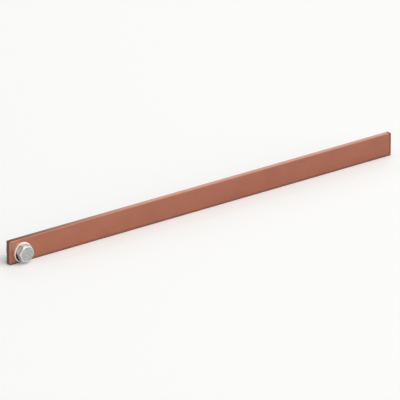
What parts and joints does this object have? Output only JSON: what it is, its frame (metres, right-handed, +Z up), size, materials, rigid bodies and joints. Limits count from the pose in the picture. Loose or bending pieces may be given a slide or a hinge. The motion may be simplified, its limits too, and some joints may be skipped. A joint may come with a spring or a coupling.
{
  "type": "copper busbar",
  "caption": "Flat copper busbar with square-cut ends and rounded edges; a hexagon bolt with plain washers and a nut clamps a conductor at its end.",
  "frame": {"origin": "middle of the bar's lower edge face, half way along its length and through its thickness", "axes": "+X along the bar from the bolt end to the plain end, +Z up across its width, the bolt head faces -Y"},
  "size_m": [0.4, 0.0213, 0.02],
  "materials": {
    "rolled_copper": "bare rolled copper, matt",
    "zinc_plated_steel": "bright zinc plating"
  },
  "bodies": {
    "root": {"busbar": "rolled_copper", "hex_bolt": "zinc_plated_steel", "front_washer": "zinc_plated_steel", "rear_washer": "zinc_plated_steel", "hex_nut": "zinc_plated_steel"}
  },
  "joints": []
}
